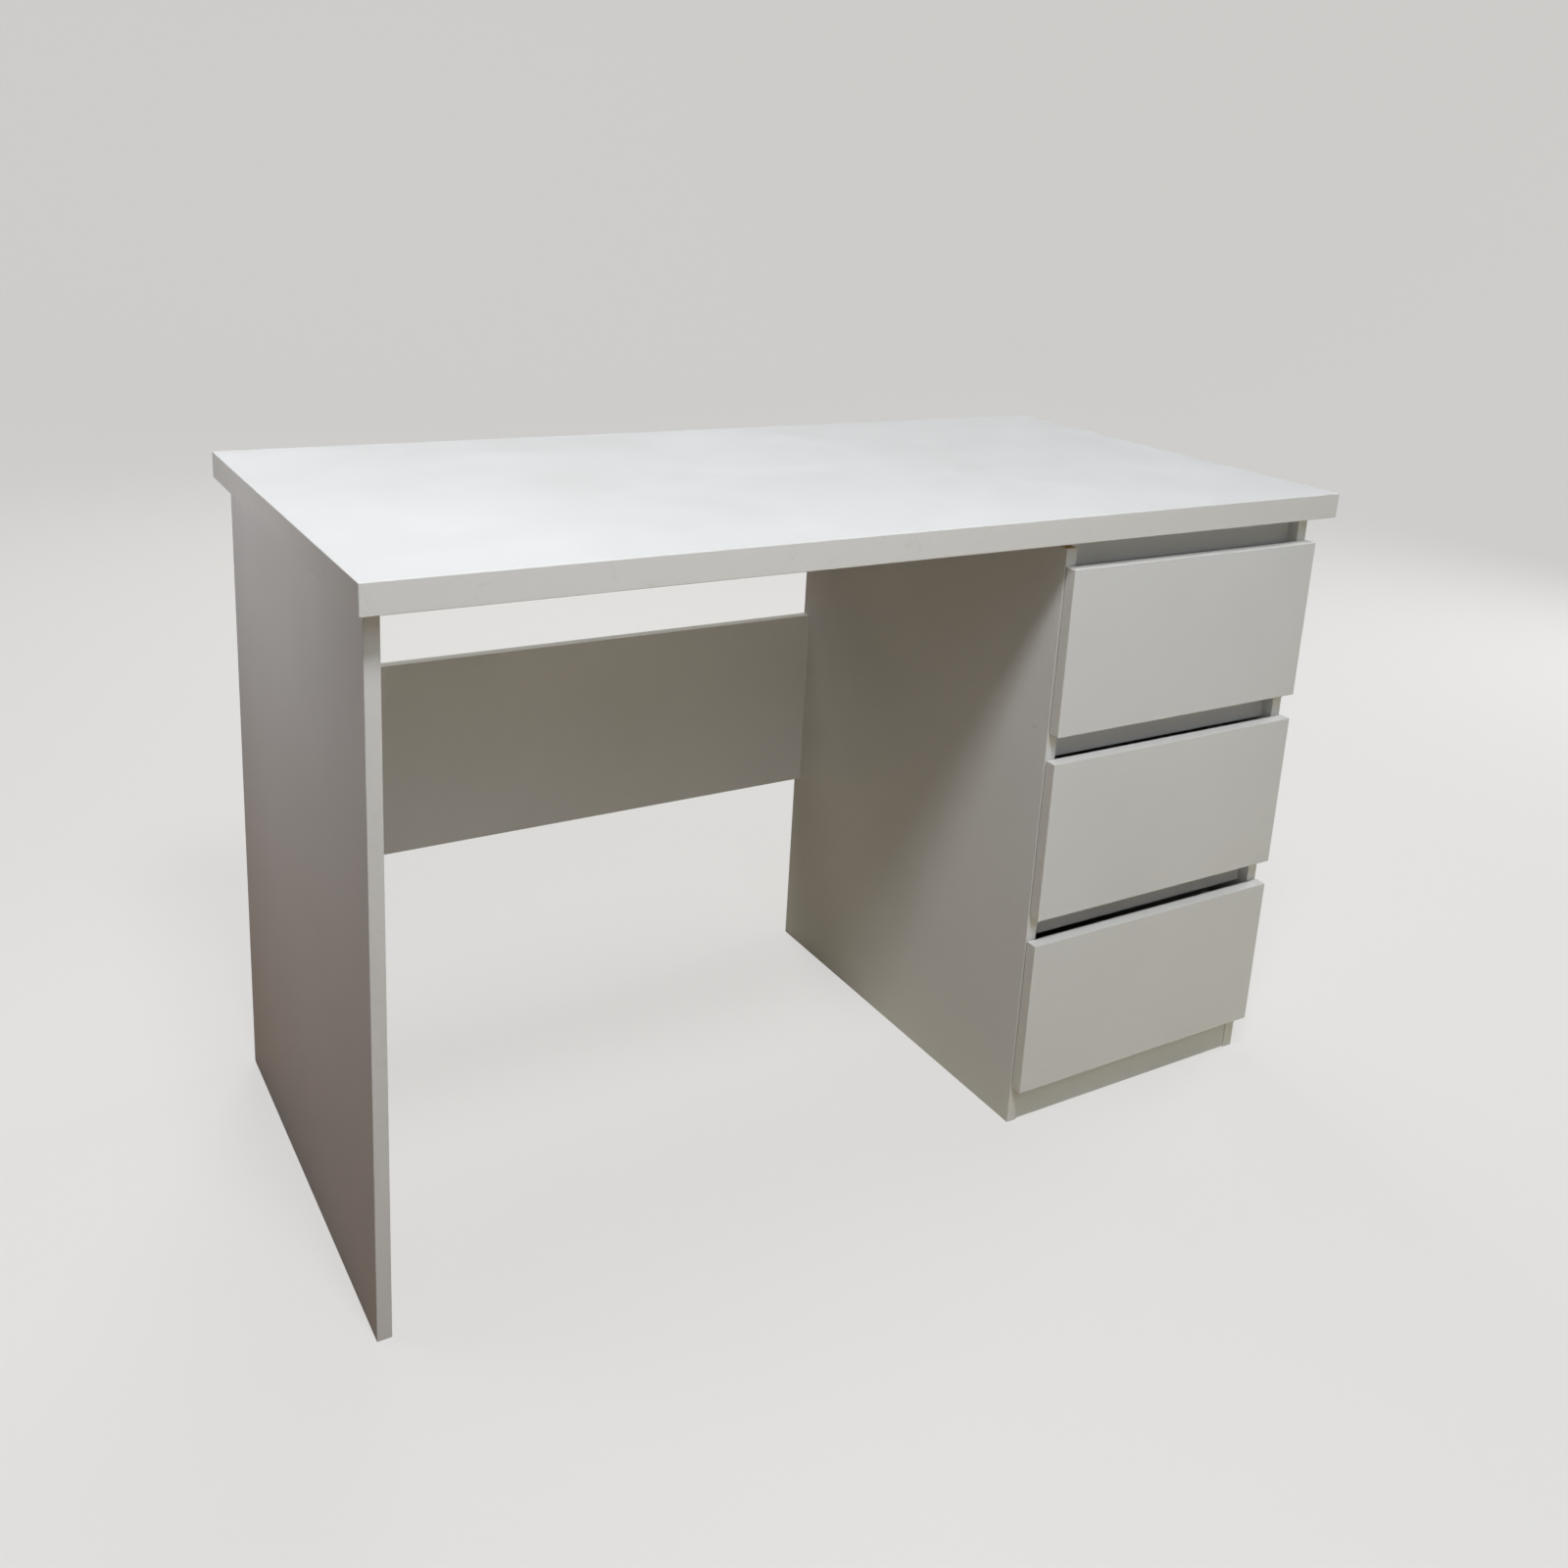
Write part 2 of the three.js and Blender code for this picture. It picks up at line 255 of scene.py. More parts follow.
# Bright zinc-plated steel: cold-rolled strip, folded, plated and passivated.
# It gives a cool grey metal with long rolling streaks and a trace of yellow in patches.
def zincSteelMaterial():
    look = {
        "zinc": "#c6cacd", "yellow": "#c9c5b4",
        "patch": 60, "patchShows": (0.5, 0.75), "yellowShare": (0, 0.5),
        "streak": 1.6, "stretch": 0.02, "streakDepth": 0.002,
        "glossShows": (0.3, 0.7), "roughness": (0.26, 0.36),
    }
    material, tree, place = startMaterial("bright zinc-plated steel")
    along = addNode(tree, "Mapping", {"Vector": place, "Scale": (1, look["stretch"], 1)})
    streak = addNode(tree, "TexNoise", {
        "Vector": along, "Scale": 1 / (look["streak"] * mm), "Detail": 3.0, "Roughness": 0.6})
    patch = addNode(tree, "TexNoise", {"Vector": place, "Scale": 1 / (look["patch"] * mm), "Detail": 3.0})
    share = addNode(tree, "MapRange", {
        "Value": patch, **limits("From", look["patchShows"]), **limits("To", look["yellowShare"])})
    colour = addNode(tree, "Mix", {
        0: share, 6: linear(look["zinc"]), 7: linear(look["yellow"])}, data_type="RGBA")
    gloss = addNode(tree, "MapRange", {
        "Value": streak, **limits("From", look["glossShows"]), **limits("To", look["roughness"])})
    rolled = addNode(tree, "Bump", {"Height": streak, "Distance": look["streakDepth"] * mm, "Strength": 1.0})
    shader = addNode(tree, "BsdfPrincipled", {
        "Base Color": colour.outputs[2], "Metallic": 1.0, "Roughness": gloss, "Normal": rolled})
    addNode(tree, "OutputMaterial", {"Surface": shader})
    return material


# Moulded plastics: ABS for the levers, polythene for the caps, soft PVC for the bumpers.
# Each gives a plain colour with a spark-eroded texture, and dust or grime where hands reach it.
plasticLooks = {
    "moulded black ABS": {
        "colour": "#1c1c1e", "grime": "#3b3a37", "patch": 8, "texture": 0.6, "roughness": 0.5},
    "white polythene cover cap": {
        "colour": "#e6e7e4", "grime": "#d6d4cc", "patch": 5, "texture": 0.8, "roughness": 0.4},
    "translucent soft PVC bumper": {
        "colour": "#cfd0cb", "grime": "#a9a59a", "patch": 4, "texture": 0.9, "roughness": 0.28},
}
plasticShared = {"patchShows": (0.45, 0.8), "grimeShare": (0, 0.7), "textureDepth": 0.02}


def plasticMaterial(name):
    look = {**plasticLooks[name], **plasticShared}
    material, tree, place = startMaterial(name)
    patch = addNode(tree, "TexNoise", {"Vector": place, "Scale": 1 / (look["patch"] * mm), "Detail": 4.0})
    spark = addNode(tree, "TexNoise", {"Vector": place, "Scale": 1 / (look["texture"] * mm), "Detail": 1.0})
    share = addNode(tree, "MapRange", {
        "Value": patch, **limits("From", look["patchShows"]), **limits("To", look["grimeShare"])})
    colour = addNode(tree, "Mix", {
        0: share, 6: linear(look["colour"]), 7: linear(look["grime"])}, data_type="RGBA")
    texture = addNode(tree, "Bump", {"Height": spark, "Distance": look["textureDepth"] * mm, "Strength": 1.0})
    shader = addNode(tree, "BsdfPrincipled", {
        "Base Color": colour.outputs[2], "Roughness": look["roughness"], "Normal": texture})
    addNode(tree, "OutputMaterial", {"Surface": shader})
    return material


melamine = melamineMaterial()
edgeBand = edgeBandMaterial()
chipboard = chipboardMaterial()
hardboardFace = hardboardFaceMaterial()
hardboardBack = hardboardBackMaterial()
zincSteel = zincSteelMaterial()
blackAbs, whiteCap, softBumper = (plasticMaterial(name) for name in plasticLooks)
print("materials made")


# surfaces: each is points, outward normals or None, faces, and the material number of each face

# the two axes across each axis, and whether they make a left-handed pair with it
acrossOf = {"x": (1, 2, False), "y": (0, 2, True), "z": (0, 1, False)}


# An outline with rounded corners, anticlockwise. Each corner becomes the arc that touches both its edges, and
# the normal turns evenly along it. Gives points, normals, and the number of the edge that each point starts
# or rounds.
def roundedOutline(corners, radii, steps=3):
    corners = np.array(corners, float)
    count = len(corners)
    radii = np.broadcast_to(np.array(radii, float), count)
    number = np.arange(count)
    after = np.roll(corners, -1, 0)
    if np.sum(corners[:, 0] * after[:, 1] - after[:, 0] * corners[:, 1]) < 0:
        corners = corners[::-1]
        radii = radii[::-1]
        number = (count - 2 - number) % count
    ahead = np.roll(corners, -1, 0) - corners
    ahead /= np.hypot(*ahead.T)[:, None]
    behind = np.roll(ahead, 1, 0)
    turn = np.arctan2(behind[:, 0] * ahead[:, 1] - behind[:, 1] * ahead[:, 0], np.sum(behind * ahead, 1))
    normal = np.stack([behind[:, 1], -behind[:, 0]], 1)
    side = np.sign(turn)[:, None]
    start = corners - behind * (radii * np.tan(abs(turn) / 2))[:, None]
    centre = start - side * radii[:, None] * normal
    angle = turn[:, None] * np.linspace(0, 1, steps + 1)
    turned = np.stack([normal[:, :1] * np.cos(angle) - normal[:, 1:] * np.sin(angle),
                       normal[:, :1] * np.sin(angle) + normal[:, 1:] * np.cos(angle)], 2)
    points = centre[:, None] + side[:, None] * radii[:, None, None] * turned
    edge = np.repeat(number[:, None], steps + 1, 1)
    edge[:, :-1] = np.roll(number, 1)[:, None]
    return points.reshape(-1, 2), turned.reshape(-1, 2), edge.reshape(-1)


# two numbers across an axis and one along it, put in x, y, z order
def axisPoints(axis, across, along):
    first, second, _ = acrossOf[axis]
    points = np.empty((*np.shape(along), 3))
    points[..., first] = across[..., 0]
    points[..., second] = across[..., 1]
    points[..., "xyz".index(axis)] = along
    return points


# the four corners of a box seen along an axis
def rectangle(low, high, axis):
    first, second, _ = acrossOf[axis]
    return [(low[first], low[second]), (high[first], low[second]),
            (high[first], high[second]), (low[first], high[second])]


# four-sided faces between rows of points, where each row is a closed ring, and the rows may close as well
def ringFaces(rows, count, closed=False):
    row, column = np.meshgrid(np.arange(rows if closed else rows - 1), np.arange(count), indexing="ij")
    nextRow, nextColumn = (row + 1) % rows, (column + 1) % count
    return np.stack([row * count + column, row * count + nextColumn,
                     nextRow * count + nextColumn, nextRow * count + column], 2).reshape(-1, 4)


# A straight bar: an outline carried along an axis, which shrinks at both ends along a quarter circle of
# radius "ease": inset is ease(1 - sin t) and distance from the end is ease(1 - cos t). A flat cap closes each
# end.
def bar(outline, axis, low, high, ease, endSlot=0, sideSlots=0, steps=3):
    across, normal, edge = outline
    count = len(across)
    rise = np.radians(np.linspace(0, 90, steps + 1))
    lean = np.concatenate([rise, rise[::-1]])
    sign = np.repeat((-1.0, 1.0), steps + 1)
    level = np.where(sign < 0, low, high) - sign * ease * (1 - np.cos(lean))
    flat = across - (ease * (1 - np.sin(lean)))[:, None, None] * normal
    points = axisPoints(axis, flat, np.repeat(level[:, None], count, 1))
    normals = axisPoints(axis, normal * np.sin(lean)[:, None, None],
                         np.repeat((sign * np.cos(lean))[:, None], count, 1))
    slots = np.full((len(level) - 1, count), endSlot)
    slots[steps] = np.broadcast_to(sideSlots, edge.max() + 1)[edge]
    last = (len(level) - 1) * count
    faces = ringFaces(len(level), count).tolist()
    faces += [list(range(count))[::-1], list(range(last, last + count))]
    if acrossOf[axis][2]:
        faces = [face[::-1] for face in faces]
    return points.reshape(-1, 3), normals.reshape(-1, 3), faces, [*slots.reshape(-1), endSlot, endSlot]


hoopSet = {"turn": 0.2 * mm, "innerRound": 0.1 * mm}


# A closed hoop: the section of a tape, its outer corners rounded, carried round the rectangle that it covers.
def hoop(low, high, axis, thickness, outerRadius, slot=0):
    index = "xyz".index(axis)
    path, outward, _ = roundedOutline(rectangle(low, high, axis), hoopSet["turn"])
    section = [(0, low[index]), (thickness, low[index]), (thickness, high[index]), (0, high[index])]
    radii = [hoopSet["innerRound"], outerRadius, outerRadius, hoopSet["innerRound"]]
    profile, lean, _ = roundedOutline(section, radii, 4)
    flat = path[:, None] + profile[:, :1] * outward[:, None]
    points = axisPoints(axis, flat, np.repeat(profile[None, :, 1], len(path), 0))
    normals = axisPoints(axis, outward[:, None] * lean[:, :1], np.repeat(lean[None, :, 1], len(path), 0))
    faces = ringFaces(len(path), len(profile), True)[:, ::-1].tolist()
    if acrossOf[axis][2]:
        faces = [face[::-1] for face in faces]
    return points.reshape(-1, 3), normals.reshape(-1, 3), faces, [slot] * len(faces)


# A turned shape: a profile of (radius, height) from pole to pole, spun round an axis through "centre", with
# its heights counted towards "sign". A cross recess sinks the points whose smaller coordinate is under its
# half width.
def turned(centre, axis, sign, profile, spokes=24, slot=0, cross=None):
    radius, height = np.array(profile, float).T
    angle = np.linspace(0, 2 * np.pi, spokes, endpoint=False)
    r, a = np.meshgrid(radius[1:-1], angle, indexing="ij")
    top = np.repeat(height[1:-1, None], spokes, 1)
    across = np.stack([r * np.cos(a), r * np.sin(a)], 2)
    pole = np.array([height[0], height[-1]])
    if cross:
        arm = np.sort(abs(across), 2)
        dome = np.arange(len(r))[:, None] < cross["rings"]
        top -= cross["depth"] * (dome & (arm[..., 0] < cross["half"]) & (arm[..., 1] < cross["reach"]))
        pole[0] -= cross["depth"]
    index = "xyz".index(axis)
    first, second, leftHanded = acrossOf[axis]
    across += np.array(centre)[[first, second]]
    points = axisPoints(axis, across, centre[index] + sign * top).reshape(-1, 3)
    poles = np.repeat(np.array(centre, float)[None], 2, 0)
    poles[:, index] += sign * pole
    rows = len(radius) - 2
    last = (rows - 1) * spokes
    spoke = np.arange(spokes)
    ahead = (spoke + 1) % spokes
    faces = ringFaces(rows, spokes)[:, ::-1].tolist()
    faces += np.stack([np.full(spokes, rows * spokes), spoke, ahead], 1).tolist()
    faces += np.stack([np.full(spokes, rows * spokes + 1), last + ahead, last + spoke], 1).tolist()
    if leftHanded != (sign < 0):
        faces = [face[::-1] for face in faces]
    return np.concatenate([points, poles]), None, faces, [slot] * len(faces)


# joins surfaces into one object that rides on a body; the surfaces' own normals keep big flat faces flat
def makePiece(name, surfaces, materials, body, nodes=(), sharpAngle=35):
    points = np.concatenate([surface[0] for surface in surfaces])
    offsets = np.cumsum([0] + [len(surface[0]) for surface in surfaces])
    faces = [[index + int(offset) for index in face]
             for surface, offset in zip(surfaces, offsets) for face in surface[2]]
    mesh = bpy.data.meshes.new(name)
    mesh.from_pydata(points.tolist(), [], faces)
    for material in materials:
        mesh.materials.append(material)
    slots = np.concatenate([surface[3] for surface in surfaces]).astype(np.int32)
    mesh.polygons.foreach_set("material_index", slots)
    mesh.polygons.foreach_set("use_smooth", np.ones(len(faces), bool))
    if any(surface[1] is None for surface in surfaces):
        mesh.set_sharp_from_angle(angle=math.radians(sharpAngle))
    else:
        normals = np.concatenate([surface[1] for surface in surfaces])
        mesh.normals_split_custom_set_from_vertices(normals.tolist())
    piece = bpy.data.objects.new(name, mesh)
    bpy.context.scene.collection.objects.link(piece)
    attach(piece, body)
    if nodes:
        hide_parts(*nodes)


# "top_drawer_front" to "topDrawerFront"
def pieceName(node):
    first, *rest = node.split("_")
    return first + "".join(word.capitalize() for word in rest)


def boxOf(node):
    return tuple(np.array(corner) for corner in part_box(node))


def bodyOf(node):
    return next(body for body, nodes in bodies.items() if node in nodes)


# boards: melamine faces, sawn chipboard edges, and tape on the edges that show
boardSet = {
    "tape": 1.0 * mm, "tapeRound": 0.8 * mm, "tapeEnd": 0.1 * mm,
    "ease": 0.15 * mm, "corner": 0.3 * mm, "slot": 3.5 * mm, "slotDepth": 6 * mm, "panelEase": 0.1 * mm,
}
boardMaterials = [melamine, chipboard, edgeBand]
# the axis that each side lies across, and whether it is the high one
edgeSides = {
    "left": (0, 0), "right": (0, 1), "front": (1, 0), "back": (1, 1), "bottom": (2, 0), "top": (2, 1),
}


# cuts a strip as thick as the tape off one side of a board's box, in place, and gives it as a bar of tape
def tapeStrip(low, high, thin, side):
    axis, end = edgeSides[side]
    run = 3 - axis - "xyz".index(thin)
    stripLow, stripHigh = low.copy(), high.copy()
    if end:
        high[axis] -= boardSet["tape"]
        stripLow[axis] = high[axis]
    else:
        low[axis] += boardSet["tape"]
        stripHigh[axis] = low[axis]
    corners = rectangle(stripLow, stripHigh, "xyz"[run])
    column = acrossOf["xyz"[run]].index(axis)
    outer = (stripHigh if end else stripLow)[axis]
    radii = [boardSet["tapeRound"] if corner[column] == outer else boardSet["tapeEnd"] for corner in corners]
    return bar(roundedOutline(corners, radii, 4), "xyz"[run], stripLow[run], stripHigh[run],
               boardSet["tapeEnd"], 2, 2)


def plainBoard(node, thin, taped=()):
    low, high = boxOf(node)
    surfaces = []
    if len(taped) == 4:
        wide = np.array([letter != thin for letter in "xyz"])
        low += boardSet["tape"] * wide
        high -= boardSet["tape"] * wide
        surfaces.append(hoop(low, high, thin, boardSet["tape"], boardSet["tapeRound"], 2))
    else:
        surfaces += [tapeStrip(low, high, thin, side) for side in taped]
    index = "xyz".index(thin)
    outline = roundedOutline(rectangle(low, high, thin), boardSet["corner"])
    surfaces.append(bar(outline, thin, low[index], high[index], boardSet["ease"], 0, 1))
    makePiece(pieceName(node), surfaces, boardMaterials, bodyOf(node), [node])


# A board with a slot sawn along its inner face for a thin panel: its section, with the slot, is carried along
# "run". A relief is a step, "depth" deep from the front edge and "height" high, cut out of its top.
def slottedBoard(node, thin, run, innerFace, panel, taped, relief=None):
    low, high = boxOf(node)
    runIndex, thinIndex = "xyz".index(run), "xyz".index(thin)
    cross = 3 - runIndex - thinIndex
    outerFace = low[thinIndex] + high[thinIndex] - innerFace
    bed = innerFace + math.copysign(boardSet["slotDepth"], outerFace - innerFace)
    middle = (panel[0][cross] + panel[1][cross]) / 2
    slotLow, slotHigh = middle - boardSet["slot"] / 2, middle + boardSet["slot"] / 2
    top = high[runIndex]
    if relief:
        high[runIndex] -= relief["height"]
    surfaces = [tapeStrip(low, high, thin, side) for side in taped]

    def section(start):
        corners = [(outerFace, start), (innerFace, start), (innerFace, slotLow), (bed, slotLow),
                   (bed, slotHigh), (innerFace, slotHigh), (innerFace, high[cross]), (outerFace, high[cross])]
        if acrossOf[run][0] != thinIndex:
            corners = [corner[::-1] for corner in corners]
        return roundedOutline(corners, boardSet["ease"], 2)

    sawn = [1, 0, 1, 1, 1, 0, 1, 0]  # which of the section's eight edges are sawn
    ease = boardSet["tapeEnd"]
    surfaces.append(bar(section(low[cross]), run, low[runIndex], high[runIndex], ease, 1, sawn))
    if relief:
        start = low[cross] - boardSet["tape"] + relief["depth"]
        surfaces.append(bar(section(start), run, high[runIndex], top, ease, 1, sawn))
    makePiece(pieceName(node), surfaces, boardMaterials, bodyOf(node), [node])


# hardboard: lacquered on its upper or outer face, bare on the other
def hardboardPanel(node, thin):
    low, high = boxOf(node)
    index = "xyz".index(thin)
    outline = roundedOutline(rectangle(low, high, thin), boardSet["corner"])
    points, normals, faces, slots = bar(outline, thin, low[index], high[index], boardSet["panelEase"], 1, 1)
    slots[-1] = 0
    makePiece(pieceName(node), [(points, normals, faces, slots)], [hardboardFace, hardboardBack],
              bodyOf(node), [node])


# the fixed desk: the axis that each board is thin along, and its taped edges
fixedBoards = {
    "desktop_board": ("z", ()),
    "desktop_front_lip": ("z", ()),
    "desktop_back_lip": ("z", ()),
    "desktop_left_lip": ("z", ()),
    "desktop_right_lip": ("z", ()),
    "desktop_cross_strip": ("z", ()),
    "left_end_panel": ("x", ("front", "back")),
    "modesty_panel": ("y", ("bottom", "top")),
    "pedestal_bottom": ("z", ("front",)),
    "kick_board": ("y", ()),
    "pedestal_back_rail": ("y", ("bottom",)),
    "top_rail": ("y", ("bottom",)),
    "middle_rail": ("y", ("bottom", "top")),
    "bottom_rail": ("y", ("bottom", "top")),
}
for node, (thin, taped) in fixedBoards.items():
    plainBoard(node, thin, taped)


def desktopEdgeBand():
    low, high = boxOf("desktop_board")
    bandLow, bandHigh = boxOf("desktop_edge_band")
    low[2] = bandLow[2]
    ring = hoop(low, high, "z", bandHigh[0] - high[0], boardSet["tapeRound"])
    makePiece("desktopEdgeBand", [ring], [edgeBand], "frame", ["desktop_edge_band"])


desktopEdgeBand()
print("desktop, end panel, modesty panel and rails made")

insideLow, insideHigh = boxOf("pedestal_bottom")
backPanel = boxOf("pedestal_back_panel")
reliefSet = {"depth": 20 * mm, "height": 12 * mm}
slottedBoard("pedestal_left_side", "x", "z", insideLow[0], backPanel, ("front", "back"), reliefSet)
slottedBoard("pedestal_right_side", "x", "z", insideHigh[0], backPanel, ("front", "back"))
hardboardPanel("pedestal_back_panel", "y")
print("pedestal made")

positions = ("top", "middle", "bottom")
for position in positions:
    name = position + "_drawer"
    panel = boxOf(name + "_bottom")
    backLow, backHigh = boxOf(name + "_box_back")
    plainBoard(name + "_front", "y", ("left", "right", "bottom", "top"))
    slottedBoard(name + "_left_side", "x", "y", backLow[0], panel, ("top",))
    slottedBoard(name + "_right_side", "x", "y", backHigh[0], panel, ("top",))
    slottedBoard(name + "_box_front", "y", "x", boxOf(name + "_box_front")[1][1], panel, ("top",))
    slottedBoard(name + "_box_back", "y", "x", backLow[1], panel, ("top",))
    hardboardPanel(name + "_bottom", "z")
print("drawer fronts and boxes made")


# fittings: profiles of (radius, height) in millimetres from the top of each to its underside, and the recess
# that turns some of them, which sinks the first rings of points
crossSet = {"half": 0.55 * mm, "reach": 2.0 * mm, "depth": 0.8 * mm, "rings": 5}
fittingSet = {
    "panHead": [(0, 1.25), (0.5, 1.24), (1.1, 1.2), (1.7, 1.1), (2.3, 0.95), (2.9, 0.65), (3.2, 0.25),
                (3.2, 0), (0, 0)],
    "washerHead": [(0, 2.2), (0.5, 2.18), (1.1, 2.1), (1.7, 2.0), (2.4, 1.8), (3.2, 1.4), (3.6, 0.9),
                   (6.6, 0.8), (7.0, 0.6), (7.0, 0), (0, 0)],
    "flushHead": [(0, 0.25), (0.5, 0.25), (1.1, 0.25), (1.7, 0.25), (2.4, 0.25), (3.4, 0.25), (3.7, 0.1),
                  (3.7, 0), (0, 0)],
    "pin": [(0, 0.4), (0.8, 0.37), (1.3, 0.25), (1.5, 0.1), (1.5, 0), (0, 0)],
    "coverCap": [(0, 0.25), (2, 0.24), (3.6, 0.21), (4.8, 0.14), (5.4, 0.05), (5.5, 0), (0, 0)],
    "cam": [(0, 0.3), (0.8, 0.3), (1.6, 0.3), (2.6, 0.3), (3.4, 0.3), (4.4, 0.3), (6.8, 0.3), (7.4, 0.2),
            (7.5, 0), (0, 0)],
    "bumper": [(0, 1.7), (1.5, 1.66), (2.7, 1.5), (3.4, 1.2), (3.8, 0.8), (4.0, 0), (0, 0)],
}


def fitting(kind, centre, axis, sign, cross=False):
    profile = np.array(fittingSet[kind]) * mm
    return turned(centre, axis, sign, profile, cross=crossSet if cross else None)


# telescopic slides: an outer channel on the pedestal, a middle one on the carriage, an inner one on the box
slideSet = {
    "gauge": 1.25 * mm, "hook": 2.5 * mm, "bend": 1.1 * mm, "edge": 0.3 * mm, "ease": 0.2 * mm,
    "screwInset": 40 * mm,
}

# Their ball cages. "ball" is a ball's radius, "margin" is the pitches from a cage's end to its first ball,
# each gap is from the web or the flange beside the cage, and "inset" is from the slide's end.
cageSet = {
    "gauge": 0.4 * mm, "ease": 0.1 * mm, "sharpAngle": 60,
    "ball": 1.58 * mm, "rings": 7, "spokes": 8, "balls": 9, "pitch": 11 * mm, "margin": 0.75,
    "back": {"webGap": 1.35 * mm, "flangeGap": 0.2 * mm, "inset": 6 * mm},
    "front": {"webGap": 0.45 * mm, "flangeGap": 0.4 * mm, "inset": 8 * mm},
}
cageLength = (cageSet["balls"] - 1 + 2 * cageSet["margin"]) * cageSet["pitch"]


# The section of a folded channel, as (distance from the wall, height): a web at "near" with a flange at the
# top and bottom reaching "far", and a hook along each flange if there is one.
def channelOutline(wall, towards, middle, near, far, half, gauge, hook=0.0):
    step = math.copysign(gauge, far - near)
    lower = [(near, -half), (far, -half)]
    if hook:
        lower += [(far, hook - half), (far - step, hook - half), (far - step, gauge - half)]
    else:
        lower += [(far, gauge - half)]
    lower += [(near + step, gauge - half)]
    bends = [slideSet["bend"]] + [slideSet["edge"]] * (len(lower) - 1)
    if gauge < slideSet["edge"] * 2:
        bends = [gauge / 3] * len(lower)
    corners = lower + [(distance, -height) for distance, height in lower[::-1]]
    placed = [(wall + towards * distance, middle + height) for distance, height in corners]
    return roundedOutline(placed, bends + bends[::-1])


# a ball cage: a thin channel between two members, with a row of balls through each of its flanges
def ballCage(name, wall, towards, middle, near, far, half, start, body):
    gauge, ball = cageSet["gauge"], cageSet["ball"]
    outline = channelOutline(wall, towards, middle, near, far, half + gauge / 2, gauge)
    surfaces = [bar(outline, "y", start, start + cageLength, cageSet["ease"], steps=1)]
    polar = np.linspace(0, np.pi, cageSet["rings"])
    profile = np.stack([np.sin(polar), np.cos(polar)], 1) * ball
    across = wall + towards * (far - ball * math.copysign(1, far - near))
    for number in range(cageSet["balls"]):
        y = start + (number + cageSet["margin"]) * cageSet["pitch"]
        for height in (-half, half):
            surfaces.append(turned((across, y, middle + height), "x", 1, profile, cageSet["spokes"]))
    makePiece(name, surfaces, [zincSteel], body, sharpAngle=cageSet["sharpAngle"])


def slide(position, hand, wall, towards):
    name = f"{position}_drawer_{hand}_slide"
    gauge = slideSet["gauge"]
    reach = {}
    for member in ("outer", "middle", "inner"):
        node = f"{name}_{member}"
        low, high = boxOf(node)
        near, far = sorted(abs(face - wall) for face in (low[0], high[0]))
        half = (high[2] - low[2]) / 2
        reach[member] = (near, far, half)
        if member == "inner":
            near, far = far, near
        hook = slideSet["hook"] if member == "outer" else 0.0
        outline = channelOutline(wall, towards, (low[2] + high[2]) / 2, near, far, half, gauge, hook)
        surface = bar(outline, "y", low[1], high[1], slideSet["ease"])
        makePiece(pieceName(node), [surface], [zincSteel], bodyOf(node), [node])
    low, high = boxOf(name + "_inner")
    middle = (low[2] + high[2]) / 2
    inset = slideSet["screwInset"]
    stations = (low[1] + inset, (low[1] + high[1]) / 2, high[1] - inset)
    hands = {"outer": (gauge, towards), "inner": (reach["inner"][1] - gauge, -towards)}
    for member, (distance, sign) in hands.items():
        screws = [fitting("panHead", (wall + towards * distance, y, middle), "x", sign, True)
                  for y in stations]
        makePiece(pieceName(f"{name}_{member}_screws"), screws, [zincSteel], bodyOf(f"{name}_{member}"))
    # The back cage runs between the outer and middle channels, far enough back to stay in the outer one when
    # the drawer is out. The front cage runs between the middle and inner channels.
    back, front = cageSet["back"], cageSet["front"]
    body = f"{position}_drawer_carriage"
    ballCage(pieceName(name + "_back_cage"), wall, towards, middle,
             gauge + back["webGap"], reach["outer"][1] - gauge - back["flangeGap"],
             (reach["outer"][2] - gauge + reach["middle"][2]) / 2, high[1] - cageLength - back["inset"], body)
    ballCage(pieceName(name + "_front_cage"), wall, towards, middle,
             reach["middle"][0] + gauge + front["webGap"], reach["middle"][1] - front["flangeGap"],
             (reach["middle"][2] - gauge + reach["inner"][2]) / 2, low[1] + front["inset"], body)
    lever(name, wall, towards, middle, reach["inner"][1] - gauge, low[1])


# The release lever in the inner channel: a bent arm that widens to a thumb pad. Its outline is (share of the
# length, height in millimetres), and its two faces are that far from the channel's web.
leverSet = {
    "start": 140 * mm, "length": 58 * mm, "faces": (0.3 * mm, 2.2 * mm), "round": 0.9 * mm, "ease": 0.4 * mm,
    "outline": [(0, -2.5), (1, -1.5), (1, 1.5), (0.45, 2.0), (0.3, 6.5), (0, 7.5)],
}


def lever(name, wall, towards, middle, bed, front):
    y = front + leverSet["start"]
    corners = [(y + share * leverSet["length"], middle + height * mm)
               for share, height in leverSet["outline"]]
    outline = roundedOutline(corners, leverSet["round"])
    faces = sorted(wall + towards * (bed - distance) for distance in leverSet["faces"])
    makePiece(pieceName(name + "_lever"), [bar(outline, "x", *faces, leverSet["ease"])], [blackAbs],
              bodyOf(name + "_inner"))


for position in positions:
    slide(position, "left", insideLow[0], 1)
    slide(position, "right", insideHigh[0], -1)
print("slides, cages and levers made")


# screws, caps and bumpers
fixingSet = {
    "frontScrewInset": 70 * mm, "cornerInset": 22 * mm, "capBelowRail": 8 * mm,
    "camInset": 34 * mm, "camEdge": 60 * mm, "bumperInset": 16 * mm, "pinPitch": 80 * mm,
    "pinInset": 20 * mm,
}


